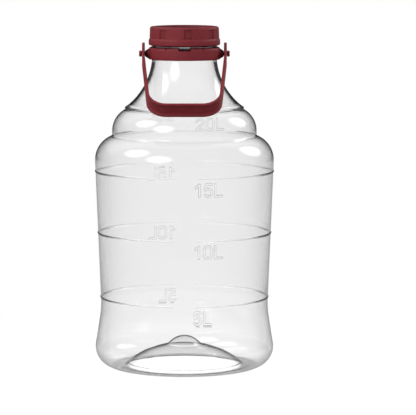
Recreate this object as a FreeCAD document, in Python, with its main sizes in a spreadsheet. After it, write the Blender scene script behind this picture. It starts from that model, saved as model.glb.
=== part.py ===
import FreeCAD, Part
import math
import os
import Sketcher
from types import SimpleNamespace

# A 20 litre blown jar with a wide threaded neck, a screw cap with a gasket and a flush airlock valve,
# and a carrying bail hung on a collar that turns on the neck. Millimetres, +Z up, the foot on Z = 0.

doc = FreeCAD.newDocument("fermentation_jar")

# Driving sizes, in mm, degrees or counts. Radii are measured from the jar's axis.
DRIVING_SIZES = {
    # Jar, from the foot upwards
    "overall_height": 515.0,
    "body_radius": 135.0,
    "body_wall": 1.2,
    "foot_width": 16.5,
    "foot_rise": 4.5,
    "foot_lead_in": 2.0,
    "corner_curve": 30.5,
    "punt_height": 32.0,
    "punt_curve": 157.0,
    "nub_radius": 25.0,
    "nub_height": 12.5,
    "waist_depth": 8.6,
    "waist_height_share": 0.309,
    "waist_curve_share": 0.5843,
    "shoulder_curve": 38.7,
    "upper_inset": 26.0,
    "upper_step": 7.4,
    "upper_curve": 36.5,
    "root_inset": 21.0,
    "root_step": 3.3,
    "flare_curve": 100.0,
    "neck_radius": 47.0,
    "neck_straight": 10.6,
    "neck_ledge": 1.4,
    "neck_ring_proud": 1.6,
    "neck_ring_height": 2.4,
    "finish_inset": 0.8,
    "finish_height": 20.5,
    "finish_wall": 2.7,
    # Raised volume lines, each in two halves with a gap at the front and the back
    "mark_5_height_share": 0.3392,
    "mark_10_height_share": 0.6504,
    "mark_15_height_share": 0.9466,
    "mark_width": 4.0,
    "mark_proud": 1.0,
    "mark_20_width": 4.6,
    "mark_20_proud": 2.0,
    "mark_sweep": 165.0,
    "mark_root": 0.5,
    # Thread on the neck and in the cap
    "thread_pitch": 6.0,
    "thread_turns": 1.5,
    "thread_depth": 2.2,
    "thread_base_width": 3.0,
    "thread_crest_width": 1.2,
    "thread_lift": 4.6,
    "thread_root": 0.3,
    "thread_clearance": 0.6,
    # Screw cap
    "cap_wall": 3.5,
    "cap_flange_proud": 2.0,
    "cap_flange_height": 6.0,
    "cap_flange_slope": 2.4,
    "cap_lead_in_width": 0.8,
    "cap_lead_in_height": 2.2,
    "cap_skirt_overlap": 0.4,
    "cap_edge_round": 3.0,
    "cap_plate": 2.5,
    "cap_rim_height": 3.0,
    "cap_rim_width": 6.0,
    "flute_count": 8,
    "flute_width": 10.6,
    "flute_depth": 0.8,
    "flute_margin": 0.6,
    "flute_turn": 6.0,
    "port_radius": 9.0,
    # Gasket and airlock valve
    "seal_thickness": 2.0,
    "seal_lap": 1.5,
    "seal_clearance": 0.35,
    "valve_flange_radius": 22.0,
    "valve_flange": 1.6,
    "valve_clearance": 0.3,
    "valve_lip_radius": 11.0,
    "valve_lip": 1.8,
    "valve_bill_length": 12.0,
    "valve_bill_tip_radius": 3.2,
    "valve_vent_radius": 1.8,
    "valve_bill_floor": 2.0,
    "valve_slit_width": 0.4,
    # Collar with its bail pegs
    "collar_wall": 6.4,
    "collar_height": 18.4,
    "collar_drop": 8.0,
    "collar_clearance": 0.6,
    "collar_float": 0.4,
    "collar_round_rise": 3.8,
    "collar_lip": 2.0,
    "window_width": 17.6,
    "window_depth": 4.0,
    "slit_width": 1.3,
    "slit_depth": 3.2,
    "slit_offset": 27.3,
    "pivot_rise": 8.1,
    "boss_base_radius": 7.6,
    "boss_tip_radius": 4.4,
    "boss_length": 5.0,
    "peg_radius": 3.2,
    "peg_head_radius": 4.6,
    "peg_head": 4.0,
    "peg_head_chamfer": 0.9,
    # Bail handle
    "ear_gap": 0.65,
    "ear_play": 0.45,
    "strap_thickness": 4.1,
    "strap_width": 24.0,
    "strap_rim": 3.0,
    "strap_hollow": 1.6,
    "bail_reach": 126.5,
    "bail_corner": 26.0,
    "ear_extension": 7.3,
    "ear_straight": 12.0,
    "arm_lean": 4.8,
    "arm_bend": 60.0,
    "ear_flat_inset": 2.0,
    "peg_hole_clearance": 0.2,
    "rest_clearance": 0.4,
    # Overrun of every cut past the surface that it opens
    "cut_overrun": 2.0,
}

sheet = doc.addObject("Spreadsheet::Sheet", "Sizes")
for row, (alias, number) in enumerate(DRIVING_SIZES.items(), start=1):
    cell = f"A{row}"
    sheet.set(cell, str(number))
    sheet.setAlias(cell, alias)
doc.recompute()


class Size:
    """A length worked out from the sheet: its value now, and the formula that keeps it so."""

    def __init__(self, value, formula):
        self.value = float(value)
        self.formula = formula

    def joined(self, sign, other, value):
        return Size(value, f"({self.formula} {sign} {other.formula})")

    def __add__(self, other):
        other = as_size(other)
        return self.joined("+", other, self.value + other.value)

    def __sub__(self, other):
        other = as_size(other)
        return self.joined("-", other, self.value - other.value)

    def __mul__(self, other):
        other = as_size(other)
        return self.joined("*", other, self.value * other.value)

    def __truediv__(self, other):
        other = as_size(other)
        return self.joined("/", other, self.value / other.value)

    def __neg__(self):
        return Size(-self.value, f"(-1 * {self.formula})")


def as_size(number):
    return number if isinstance(number, Size) else Size(number, str(number))


def root(size):
    return Size(math.sqrt(size.value), f"sqrt({size.formula})")


def sin_of(angle):
    return Size(math.sin(math.radians(angle.value)), f"sin({angle.formula})")


def cos_of(angle):
    return Size(math.cos(math.radians(angle.value)), f"cos({angle.formula})")


def leg(hypotenuse, side):
    """The other short side of a right triangle."""
    return root(hypotenuse * hypotenuse - side * side)


def bow(half_chord, rise):
    """The radius of an arc from half its chord and its rise."""
    return (half_chord * half_chord + rise * rise) / (rise * 2)


dims = SimpleNamespace(**{alias: Size(sheet.get(alias), f"Sizes.{alias}") for alias in DRIVING_SIZES})
ZERO = Size(0, "0")


# Drawing helpers

def new_body(label):
    body = doc.addObject("PartDesign::Body", label)
    body.Label = label
    return body


def sketch_on(body, role, name, lift=None, side=None):
    """A sketch on one of the body's own origin planes, lifted off it or shifted along its upright."""
    sketch = body.newObject("Sketcher::SketchObject", name)
    plane = next(item for item in body.Origin.OriginFeatures if item.Role == role)
    sketch.AttachmentSupport = [(plane, "")]
    sketch.MapMode = "FlatFace"
    if lift is not None:
        sketch.setExpression("AttachmentOffset.Base.z", lift.formula)
    if side is not None:
        sketch.setExpression("AttachmentOffset.Base.y", side.formula)
    return sketch


def hold(sketch, geometry, point, across, up):
    """Fixes one end of an edge at (across, up), each bound to its formula."""
    for kind, axis, size in (("DistanceX", -2, across), ("DistanceY", -1, up)):
        if size is ZERO:
            sketch.addConstraint(Sketcher.Constraint("PointOnObject", geometry, point, axis))
            continue
        ends = (-1, 1, geometry, point)
        if size.value < 0:
            ends = (geometry, point, -1, 1)
            size = -size
        index = sketch.addConstraint(Sketcher.Constraint(kind, *ends, size.value))
        sketch.setExpression(f"Constraints[{index}]", size.formula)


def draw(sketch, corners, closed=True):
    """Joins corners with edges. A corner is (across, up), or (across, up, radius, turn) when the edge
    that leaves it is an arc that turns left (1) or right (-1)."""
    count = len(corners)
    edges = count if closed else count - 1
    ends = []
    for index in range(edges):
        here = corners[index]
        there = corners[(index + 1) % count]
        start = FreeCAD.Vector(here[0].value, here[1].value, 0)
        end = FreeCAD.Vector(there[0].value, there[1].value, 0)
        if len(here) == 2:
            geometry = sketch.addGeometry(Part.LineSegment(start, end))
            ends.append((geometry, 1, 2))
            continue
        radius, turn = here[2], here[3]
        chord = end - start
        reach = math.sqrt(max(radius.value ** 2 - chord.Length ** 2 / 4, 0))
        left = FreeCAD.Vector(-chord.y, chord.x, 0).normalize()
        centre = (start + end) / 2 + left * (reach * turn)
        first, last = (start, end) if turn > 0 else (end, start)
        angles = [math.atan2(point.y - centre.y, point.x - centre.x) for point in (first, last)]
        circle = Part.Circle(centre, FreeCAD.Vector(0, 0, 1), radius.value)
        geometry = sketch.addGeometry(Part.ArcOfCircle(circle, angles[0], angles[1]))
        index_of_radius = sketch.addConstraint(Sketcher.Constraint("Radius", geometry, radius.value))
        sketch.setExpression(f"Constraints[{index_of_radius}]", radius.formula)
        ends.append((geometry, 1, 2) if turn > 0 else (geometry, 2, 1))
    for index in range(edges):
        geometry, start, end = ends[index]
        hold(sketch, geometry, start, corners[index][0], corners[index][1])
        if closed or index + 1 < edges:
            following, following_start, _ = ends[(index + 1) % edges]
            sketch.addConstraint(
                Sketcher.Constraint("Coincident", geometry, end, following, following_start))
        else:
            hold(sketch, geometry, end, corners[index + 1][0], corners[index + 1][1])


def draw_box(sketch, low_across, low_up, high_across, high_up):
    draw(sketch, [(low_across, low_up), (high_across, low_up), (high_across, high_up), (low_across, high_up)])


def draw_circle(sketch, radius, up=None):
    middle = FreeCAD.Vector(0, up.value if up else 0, 0)
    circle = sketch.addGeometry(Part.Circle(middle, FreeCAD.Vector(0, 0, 1), radius.value))
    index = sketch.addConstraint(Sketcher.Constraint("Radius", circle, radius.value))
    sketch.setExpression(f"Constraints[{index}]", radius.formula)
    hold(sketch, circle, 3, ZERO, up or ZERO)


def feature(body, kind, name, profile, **bound):
    """A feature of the body, with the named sizes bound to their formulas."""
    made = body.newObject(f"PartDesign::{kind}", name)
    made.Profile = profile
    for name_of_size, size in bound.items():
        made.setExpression(name_of_size, size.formula)
    return made


def revolve(body, name, profile, axis="V_Axis", sweep=None):
    made = feature(body, "Revolution", name, profile)
    made.ReferenceAxis = (profile, [axis])
    made.Angle = 360
    if sweep is not None:
        made.Midplane = True
        made.setExpression("Angle", sweep.formula)
    return made


def pocket_through(body, name, profile):
    made = feature(body, "Pocket", name, profile)
    made.Type = "ThroughAll"
    made.Midplane = True
    return made


def polar(body, name, original, count):
    """Repeats a feature round the body's upright axis."""
    made = body.newObject("PartDesign::PolarPattern", name)
    made.Originals = [original]
    axis = next(item for item in body.Origin.OriginFeatures if item.Role == "Z_Axis")
    made.Axis = (axis, [""])
    made.Angle = 360
    if isinstance(count, Size):
        made.setExpression("Occurrences", count.formula)
    else:
        made.Occurrences = count
    body.Tip = made
    return made


def cross_tangent(convex_centre, convex_radius, hollow_centre, hollow_radius, above):
    """The direction, square to the straight wall that runs off a convex arc into a hollow one, from the
    convex centre outwards. The hollow arc lies above or below the convex one."""
    across = hollow_centre[0] - convex_centre[0]
    up = hollow_centre[1] - convex_centre[1]
    span = root(across * across + up * up)
    cosine = (convex_radius + hollow_radius) / span
    sine = leg(as_size(1), cosine)
    if not above:
        sine = -sine
    return (across * cosine + up * sine) / span, (up * cosine - across * sine) / span


def on_arc(centre, radius, direction):
    return centre[0] + radius * direction[0], centre[1] + radius * direction[1]


# Radii, each from the one that carries it
foot_inner_radius = dims.body_radius - dims.corner_curve - dims.foot_width
waist_radius = dims.body_radius - dims.waist_depth
upper_radius = dims.body_radius - dims.upper_inset
root_radius = upper_radius - dims.root_inset
neck_ring_radius = dims.neck_radius + dims.neck_ring_proud
finish_radius = dims.neck_radius - dims.finish_inset
mouth_radius = finish_radius - dims.finish_wall
neck_thread_crest = finish_radius + dims.thread_depth
cap_bore = neck_thread_crest + dims.thread_clearance
cap_radius = cap_bore + dims.cap_wall
cap_flange_radius = cap_radius + dims.cap_flange_proud
collar_bore = dims.neck_radius + dims.collar_clearance
collar_radius = collar_bore + dims.collar_wall
boss_reach = collar_radius + dims.boss_length

# Heights down the stack, from the top of the cap to the shoulder of the jar
cap_plate_top = dims.overall_height - dims.cap_rim_height
cap_plate_bottom = cap_plate_top - dims.cap_plate
jar_rim = cap_plate_bottom - dims.seal_thickness
neck_ring_top = jar_rim - dims.finish_height
neck_ring_bottom = neck_ring_top - dims.neck_ring_height
neck_foot = neck_ring_bottom - dims.neck_straight
flare_centre = (dims.neck_radius + dims.neck_ledge + dims.flare_curve, neck_foot)
root_top = neck_foot - leg(dims.flare_curve, flare_centre[0] - root_radius)
root_bottom = root_top - dims.root_step
upper_centre_across = upper_radius - dims.upper_curve
upper_spring = root_bottom - leg(dims.upper_curve, root_radius - upper_centre_across)
upper_foot = upper_spring - dims.upper_step
shoulder_centre_across = dims.body_radius - dims.shoulder_curve
shoulder_spring = upper_foot - leg(dims.shoulder_curve, upper_radius - shoulder_centre_across)

# The collar sits over a ledge at the top of the flare, and is held down by the neck ring
collar_bottom = neck_foot - dims.collar_drop
collar_top = collar_bottom + dims.collar_height
ledge_height = collar_bottom - dims.collar_float
ledge_radius = flare_centre[0] - leg(dims.flare_curve, neck_foot - ledge_height)

# The waist's hollow, as a share of the widest one that still meets the corner's curve under it
waist_height = shoulder_spring * dims.waist_height_share
waist_rise = waist_height - dims.corner_curve
widest_waist = bow(waist_rise, dims.waist_depth) - dims.corner_curve
waist_curve = widest_waist * dims.waist_curve_share

# Centres of the jar's arcs
corner_centre = (dims.body_radius - dims.corner_curve, dims.corner_curve)
waist_centre = (waist_radius + waist_curve, waist_height)
shoulder_centre = (shoulder_centre_across, shoulder_spring)
upper_centre = (upper_centre_across, upper_spring)
skirt_normal = cross_tangent(corner_centre, dims.corner_curve, waist_centre, waist_curve, True)
barrel_normal = cross_tangent(shoulder_centre, dims.shoulder_curve, waist_centre, waist_curve, False)


def jar_wall(inset):
    """The side of the jar from the foot to the shoulder crease, set in from the outside by a wall."""
    corner = dims.corner_curve - inset
    waist = waist_curve + inset
    shoulder = dims.shoulder_curve - inset
    upper = dims.upper_curve - inset
    upper_wall = upper_radius - inset
    root_wall = root_radius - inset
    crease = shoulder_spring + leg(shoulder, upper_wall - shoulder_centre_across)
    root_crease = upper_spring + leg(upper, root_wall - upper_centre_across)
    return [
        (corner_centre[0], inset, corner, 1),
        on_arc(corner_centre, corner, skirt_normal),
        (*on_arc(waist_centre, -waist, skirt_normal), waist, -1),
        on_arc(waist_centre, -waist, barrel_normal),
        (*on_arc(shoulder_centre, shoulder, barrel_normal), shoulder, 1),
        (upper_wall, crease),
        (upper_wall, upper_spring, upper, 1),
        (root_wall, root_crease),
    ]


# Jar: one blown shell, thicker at the neck, with a domed punt under it
jar = new_body("jar")
nub_bow = bow(dims.nub_radius, dims.nub_height)
punt_foot_radius = foot_inner_radius - dims.foot_lead_in
nub_top = dims.punt_height + dims.nub_height
neck_wall_flare = bow(root_top - neck_foot, root_radius - dims.body_wall - mouth_radius)
outside = [
    (ZERO, nub_top, nub_bow, -1),
    (dims.nub_radius, dims.punt_height, dims.punt_curve, -1),
    (punt_foot_radius, dims.foot_rise),
    (foot_inner_radius, ZERO),
    *jar_wall(ZERO),
    (root_radius, root_top, dims.flare_curve, -1),
    (ledge_radius, ledge_height),
    (dims.neck_radius, ledge_height),
    (dims.neck_radius, neck_ring_bottom),
    (neck_ring_radius, neck_ring_bottom),
    (neck_ring_radius, neck_ring_top),
    (finish_radius, neck_ring_top),
    (finish_radius, jar_rim),
    (mouth_radius, jar_rim),
]
inside = [
    (mouth_radius, neck_foot, neck_wall_flare, 1),
    (root_radius - dims.body_wall, root_top - dims.body_wall / 2),
]
# The inner wall runs back down the same arcs, so its corners are reversed and its turns change sides.
wall_down = jar_wall(dims.body_wall)[::-1]
for position, corner in enumerate(wall_down):
    ahead = wall_down[position + 1] if position + 1 < len(wall_down) else ()
    arc = (ahead[2], -ahead[3]) if len(ahead) == 4 else ()
    inside.append((corner[0], corner[1], *arc))
inside += [
    (foot_inner_radius, dims.body_wall),
    (punt_foot_radius, dims.foot_rise + dims.body_wall, dims.punt_curve, 1),
    (dims.nub_radius, dims.punt_height + dims.body_wall, nub_bow, 1),
    (ZERO, nub_top + dims.body_wall),
]
jar_profile = sketch_on(jar, "XZ_Plane", "jar_profile")
draw(jar_profile, outside + inside)
revolve(jar, "jar_shell", jar_profile)

# Volume lines: shallow beads blown into the wall, the highest one on the crease under the neck
barrel_foot = on_arc(waist_centre, -waist_curve, barrel_normal)
barrel_slope = -barrel_normal[1] / barrel_normal[0]
mark_profile = sketch_on(jar, "XZ_Plane", "mark_profile")


def draw_mark(wall_radius, height, width, proud):
    base = wall_radius - dims.mark_root
    half = width / 2
    draw(mark_profile, [(base, height - half, bow(half, proud + dims.mark_root), 1), (base, height + half)])


for share in (dims.mark_5_height_share, dims.mark_10_height_share, dims.mark_15_height_share):
    mark_height = shoulder_spring * share
    wall_radius = barrel_foot[0] + (mark_height - barrel_foot[1]) * barrel_slope
    draw_mark(wall_radius, mark_height, dims.mark_width, dims.mark_proud)
draw_mark(root_radius, (root_top + root_bottom) / 2, dims.mark_20_width, dims.mark_20_proud)
marks = revolve(jar, "volume_marks", mark_profile, sweep=dims.mark_sweep)
polar(jar, "volume_marks_both_sides", marks, 2)

# Neck thread: one right-hand start, moulded on the finish
half_base = dims.thread_base_width / 2
half_crest = dims.thread_crest_width / 2
thread_rise = dims.thread_pitch * dims.thread_turns
neck_thread_height = neck_ring_top + dims.thread_lift


def add_thread(body, name, base_radius, crest_radius, height):
    profile = sketch_on(body, "XZ_Plane", f"{name}_profile")
    draw(profile, [
        (base_radius, height - half_base),
        (crest_radius, height - half_crest),
        (crest_radius, height + half_crest),
        (base_radius, height + half_base),
    ])
    thread = feature(body, "AdditiveHelix", name, profile)
    thread.ReferenceAxis = (profile, ["V_Axis"])
    thread.Mode = "pitch-height-angle"
    thread.setExpression("Pitch", dims.thread_pitch.formula)
    thread.setExpression("Height", thread_rise.formula)


add_thread(jar, "neck_thread", finish_radius - dims.thread_root, neck_thread_crest, neck_thread_height)

# Screw cap: moulded, with a flange, a recessed top inside a rim, and a port in the middle
cap = new_body("screw_cap")
cap_bottom = neck_ring_top - dims.cap_skirt_overlap
flange_bottom = cap_bottom + dims.cap_lead_in_height
flange_top = flange_bottom + dims.cap_flange_height
skirt_bottom = flange_top + dims.cap_flange_slope
rim_inner_radius = cap_radius - dims.cap_rim_width
cap_profile = sketch_on(cap, "XZ_Plane", "cap_profile")
draw(cap_profile, [
    (cap_bore, cap_bottom),
    (cap_bore + dims.cap_lead_in_width, cap_bottom),
    (cap_flange_radius, flange_bottom),
    (cap_flange_radius, flange_top),
    (cap_radius, skirt_bottom),
    (cap_radius, dims.overall_height - dims.cap_edge_round, dims.cap_edge_round, 1),
    (cap_radius - dims.cap_edge_round, dims.overall_height),
    (rim_inner_radius, dims.overall_height),
    (rim_inner_radius, cap_plate_top),
    (dims.port_radius, cap_plate_top),
    (dims.port_radius, cap_plate_bottom),
    (cap_bore, cap_plate_bottom),
])
revolve(cap, "cap_shell", cap_profile)

# Grip flutes round the skirt: the first one faces forwards, a few degrees to the right
flute_bottom = skirt_bottom + dims.flute_margin
flute_top = dims.overall_height - dims.cap_edge_round - dims.flute_margin
flute_profile = sketch_on(cap, "XY_Plane", "flute_profile", lift=flute_bottom)
draw_box(
    flute_profile,
    -dims.flute_width / 2,
    -cap_flange_radius - dims.cut_overrun,
    dims.flute_width / 2,
    dims.flute_depth - cap_radius,
)
flute_profile.setExpression("AttachmentOffset.Rotation.Angle", dims.flute_turn.formula)
flute = feature(cap, "Pocket", "flute", flute_profile, Length=flute_top - flute_bottom)
flute.Reversed = True
polar(cap, "flutes", flute, dims.flute_count)

# Cap thread: half a pitch under the neck thread, so that it draws the cap down
cap_thread_crest = cap_bore - dims.thread_depth
cap_thread_height = neck_thread_height - dims.thread_pitch / 2
add_thread(cap, "cap_thread", cap_bore + dims.thread_root, cap_thread_crest, cap_thread_height)

# Gasket: a loose flat ring between the jar's rim and the cap
seal = new_body("cap_seal")
seal_profile = sketch_on(seal, "XZ_Plane", "seal_profile")
draw_box(
    seal_profile,
    mouth_radius - dims.seal_lap,
    jar_rim,
    cap_bore - dims.seal_clearance,
    cap_plate_bottom,
)
revolve(seal, "seal_ring", seal_profile)

# Airlock valve: one silicone moulding pressed into the port, with a slit bill that lets gas out only
valve = new_body("airlock_valve")
valve_neck_radius = dims.port_radius - dims.valve_clearance
valve_top = cap_plate_top + dims.valve_flange
valve_lip_bottom = cap_plate_bottom - dims.valve_lip
valve_tip = valve_lip_bottom - dims.valve_bill_length
valve_profile = sketch_on(valve, "XZ_Plane", "valve_profile")
draw(valve_profile, [
    (dims.valve_vent_radius, valve_top),
    (dims.valve_vent_radius, valve_tip + dims.valve_bill_floor),
    (ZERO, valve_tip + dims.valve_bill_floor),
    (ZERO, valve_tip),
    (dims.valve_bill_tip_radius, valve_tip),
    (valve_neck_radius, valve_lip_bottom),
    (dims.valve_lip_radius, valve_lip_bottom),
    (dims.valve_lip_radius, cap_plate_bottom),
    (valve_neck_radius, cap_plate_bottom),
    (valve_neck_radius, cap_plate_top),
    (dims.valve_flange_radius, cap_plate_top),
    (dims.valve_flange_radius, valve_top),
])
revolve(valve, "valve_moulding", valve_profile)
valve_slit = sketch_on(valve, "XZ_Plane", "valve_slit_profile")
draw_box(
    valve_slit,
    -dims.valve_slit_width / 2,
    valve_tip - dims.cut_overrun,
    dims.valve_slit_width / 2,
    valve_tip + dims.valve_bill_floor,
)
slit = feature(valve, "Pocket", "valve_slit", valve_slit, Length=dims.valve_vent_radius * 2)
slit.Midplane = True

# Collar: turns on the neck under its ring, with a peg for the bail on each side
collar = new_body("handle_collar")
collar_profile = sketch_on(collar, "YZ_Plane", "collar_profile")
draw(collar_profile, [
    (collar_bore, collar_bottom),
    (collar_radius, collar_bottom),
    (collar_radius, collar_top - dims.collar_round_rise),
    (collar_bore + dims.collar_lip, collar_top),
    (collar_bore, collar_top),
])
revolve(collar, "collar_ring", collar_profile)

# Snap lip: a window at the front and the back, and a slit each side of it
lip_cuts = sketch_on(collar, "XZ_Plane", "lip_cuts")
lip_over = collar_top + dims.cut_overrun
draw_box(lip_cuts, -dims.window_width / 2, collar_top - dims.window_depth, dims.window_width / 2, lip_over)
half_slit = dims.slit_width / 2
slit_bottom = collar_top - dims.slit_depth
for slit_centre in (-dims.slit_offset, dims.slit_offset):
    draw_box(lip_cuts, slit_centre - half_slit, slit_bottom, slit_centre + half_slit, lip_over)
pocket_through(collar, "snap_lip", lip_cuts)

# Pegs: a boss, a shank and a head, turned about the bail's axis
pivot_height = collar_bottom + dims.pivot_rise
ear_inner = boss_reach + dims.ear_gap
ear_outer = ear_inner + dims.strap_thickness
peg_shank_end = ear_outer + dims.ear_play
peg_end = peg_shank_end + dims.peg_head
peg_root = (collar_bore + collar_radius) / 2
peg_profile = sketch_on(collar, "XZ_Plane", "peg_profile", side=pivot_height)
draw(peg_profile, [
    (peg_root, ZERO),
    (peg_end, ZERO),
    (peg_end, dims.peg_head_radius - dims.peg_head_chamfer),
    (peg_end - dims.peg_head_chamfer, dims.peg_head_radius),
    (peg_shank_end, dims.peg_head_radius),
    (peg_shank_end, dims.peg_radius),
    (boss_reach, dims.peg_radius),
    (boss_reach, dims.boss_tip_radius),
    (collar_radius, dims.boss_base_radius),
    (peg_root, dims.boss_base_radius),
])
peg = revolve(collar, "peg", peg_profile, axis="H_Axis")
polar(collar, "pegs", peg, 2)

# Bail: a moulded strap, drawn hanging straight down from its pivot, then swung to where it rests
bail = new_body("bail_handle")
half_strap = dims.strap_width / 2
ear_end = dims.ear_extension + half_strap

# Its arms run straight past the pegs, then lean in towards the grip
lean_sin = sin_of(dims.arm_lean)
lean_cos = cos_of(dims.arm_lean)
arm_top = (
    ear_inner - dims.arm_bend + dims.arm_bend * lean_cos,
    -dims.ear_straight - dims.arm_bend * lean_sin,
)
arm_foot_up = dims.bail_corner - dims.bail_reach - dims.bail_corner * lean_sin
arm_foot_across = arm_top[0] - (arm_top[1] - arm_foot_up) * lean_sin / lean_cos
corner_across = arm_foot_across - dims.bail_corner * lean_cos
bail_path = sketch_on(bail, "XZ_Plane", "bail_path")
draw(bail_path, [
    (ear_inner, ear_end),
    (ear_inner, -dims.ear_straight, dims.arm_bend, -1),
    arm_top,
    (arm_foot_across, arm_foot_up, dims.bail_corner, -1),
    (corner_across, -dims.bail_reach),
    (-corner_across, -dims.bail_reach, dims.bail_corner, -1),
    (-arm_foot_across, arm_foot_up),
    (-arm_top[0], arm_top[1], dims.arm_bend, -1),
    (-ear_inner, -dims.ear_straight),
    (-ear_inner, ear_end),
], closed=False)
rim_edge = half_strap - dims.strap_rim
hollow_bow = bow(rim_edge, dims.strap_hollow)
strap_section = sketch_on(bail, "XY_Plane", "strap_section", lift=ear_end)
draw(strap_section, [
    (ear_inner, -half_strap),
    (ear_outer, -half_strap),
    (ear_outer, -rim_edge, hollow_bow, -1),
    (ear_outer, rim_edge),
    (ear_outer, half_strap),
    (ear_inner, half_strap),
])
strap = feature(bail, "AdditivePipe", "strap", strap_section)
strap.Spine = (bail_path, [f"Edge{number}" for number in range(1, 10)])

# Ears: flat pads in the hollow of the strap, rounded ends, and the holes for the pegs
ear_pad_profile = sketch_on(bail, "YZ_Plane", "ear_pad_profile", lift=ear_inner)
draw_circle(ear_pad_profile, half_strap - dims.ear_flat_inset)
ear_pad = feature(bail, "Pad", "ear_pad", ear_pad_profile, Length=dims.strap_thickness)
polar(bail, "ear_pads", ear_pad, 2)
end_cut = sketch_on(bail, "YZ_Plane", "end_cut")
beyond = half_strap + dims.cut_overrun
above = ear_end + dims.cut_overrun
draw(end_cut, [
    (-half_strap, dims.ear_extension, half_strap, -1),
    (ZERO, ear_end, half_strap, -1),
    (half_strap, dims.ear_extension),
    (beyond, dims.ear_extension),
    (beyond, above),
    (-beyond, above),
    (-beyond, dims.ear_extension),
])
pocket_through(bail, "rounded_ends", end_cut)
hole_profile = sketch_on(bail, "YZ_Plane", "hole_profile")
draw_circle(hole_profile, dims.peg_radius + dims.peg_hole_clearance)
pocket_through(bail, "peg_holes", hole_profile)

# The bail rests forwards on the upper dome, on the inner edge of its outer face
grip_reach = (dims.bail_reach + dims.strap_thickness).value
grip_edge = math.hypot(grip_reach, half_strap.value)
dome_across = upper_centre[0].value
dome_down = (pivot_height - upper_centre[1]).value
dome_span = math.hypot(dome_across, dome_down)
dome_radius = (dims.upper_curve + dims.rest_clearance).value
edge_from_dome = math.acos((grip_edge ** 2 + dome_span ** 2 - dome_radius ** 2) / (2 * grip_edge * dome_span))
rest_angle = math.atan2(dome_across, dome_down) + edge_from_dome + math.atan2(half_strap.value, grip_reach)
bail.Placement = FreeCAD.Placement(
    FreeCAD.Vector(0, 0, pivot_height.value),
    FreeCAD.Rotation(FreeCAD.Vector(1, 0, 0), -math.degrees(rest_angle)),
)

doc.recompute()
for item in doc.Objects:
    if {"Invalid", "Error"} & set(item.State):
        raise RuntimeError(f"{item.Label} failed to build: {item.State}")

sub_parts = (jar, cap, seal, valve, collar, bail)
os.makedirs("parts", exist_ok=True)
for sub_part in sub_parts:
    shape = sub_part.Shape
    if shape.isNull() or not shape.isValid() or len(shape.Solids) != 1:
        raise RuntimeError(f"{sub_part.Label} is not one valid solid")
for sub_part in sub_parts:
    sub_part.Shape.exportStep(f"parts/{sub_part.Label}.step")
print(f"pivot height {pivot_height.value:.3f} mm, bail rest angle {math.degrees(rest_angle):.3f} degrees")
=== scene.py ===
import math

import bmesh
import bpy
from mathutils import Matrix, Vector


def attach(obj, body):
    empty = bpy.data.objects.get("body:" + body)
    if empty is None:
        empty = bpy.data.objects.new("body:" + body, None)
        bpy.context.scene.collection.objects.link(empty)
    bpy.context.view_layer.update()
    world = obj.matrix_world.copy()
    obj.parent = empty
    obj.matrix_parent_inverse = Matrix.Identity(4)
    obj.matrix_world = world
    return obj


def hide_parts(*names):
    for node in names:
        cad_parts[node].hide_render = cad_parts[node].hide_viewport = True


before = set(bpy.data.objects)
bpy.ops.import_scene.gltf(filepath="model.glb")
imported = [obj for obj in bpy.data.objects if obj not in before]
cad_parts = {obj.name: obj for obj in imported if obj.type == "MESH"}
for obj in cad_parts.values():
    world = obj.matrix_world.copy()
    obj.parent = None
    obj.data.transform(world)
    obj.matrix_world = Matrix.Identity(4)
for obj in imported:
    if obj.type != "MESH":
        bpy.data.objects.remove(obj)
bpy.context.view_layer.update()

# Jar: a clear PET bottle, blown from an injection moulded neck, so its wall is about a millimetre thick
# below and thicker up the flare. It stands on a flat ring round a domed punt, and its volume lines and
# numerals are raised in the outside of the mould.
MM = 0.001
FULL_TURN = math.radians(360)


def line_to(bm, vert, radius, height, steps=1):
    """Draws a straight run of a half section to a radius and a height in mm, and returns its end."""
    start = vert.co.copy()
    end = Vector((0, -radius * MM, height * MM))
    for step in range(1, steps + 1):
        vert = bmesh.ops.extrude_vert_indiv(bm, verts=[vert])["verts"][0]
        vert.co = start.lerp(end, step / steps)
    return vert


def arc_to(bm, vert, radius, height, degrees, steps):
    """Swings the end of a half section about a centre in mm, to the left for a positive turn."""
    swung = bmesh.ops.spin(
        bm, geom=[vert], cent=(0, -radius * MM, height * MM), axis=(-1, 0, 0),
        angle=math.radians(degrees), steps=steps, use_merge=False)
    return swung["geom_last"][0]


def soften(bm, corners, width, segments=3):
    """Rounds corners of a section before it is swept."""
    bmesh.ops.bevel(
        bm, geom=corners, offset=width * MM, offset_type="OFFSET", affect="VERTICES",
        segments=segments, profile=0.5, material=-1)


def lathe(bm, section, sectors):
    """Turns a half section round the upright axis, in sectors of (degrees, steps) from the front."""
    for degrees, steps in sectors:
        turned = bmesh.ops.spin(
            bm, geom=section, cent=(0, 0, 0), axis=(0, 0, 1),
            angle=math.radians(degrees), steps=steps, use_merge=False)
        section = turned["geom_last"]
    bmesh.ops.remove_doubles(bm, verts=bm.verts, dist=0.01 * MM)


def ease(share):
    """A smooth step from 0 to 1."""
    share = min(max(share, 0.0), 1.0)
    return share * share * (3 - 2 * share)


# Centres of the section's curves in mm out and up, and the radius of a curve that carries a numeral
NUB = (0, 13.25)
PUNT = (-7.54, -121.59)
FOOT_CORNER = (104.5, 30.5)
WAIST = (261.4, 97.02, 135.0)
LOWER_DOME = (96.3, 313.99)
UPPER_DOME = (72.5, 357.95, 36.5)
# Where the straight barrel starts, and how much wider it is for each millimetre up
BARREL_FOOT = (126.51, 102.45)
BARREL_LEAN = math.tan(math.radians(2.307))
# Heights and radii from the punt up to the rim
NUB_TOP = 44.5
FLARE_FOOT = 88
NECK_FOOT = 474
NECK_RADIUS = 47
RING_FOOT, RING_TOP = 484.6, 487
FINISH_RADIUS = 46.2
BORE_RADIUS = 43.5
RIM = 507.5
WALL = 1.2


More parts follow.
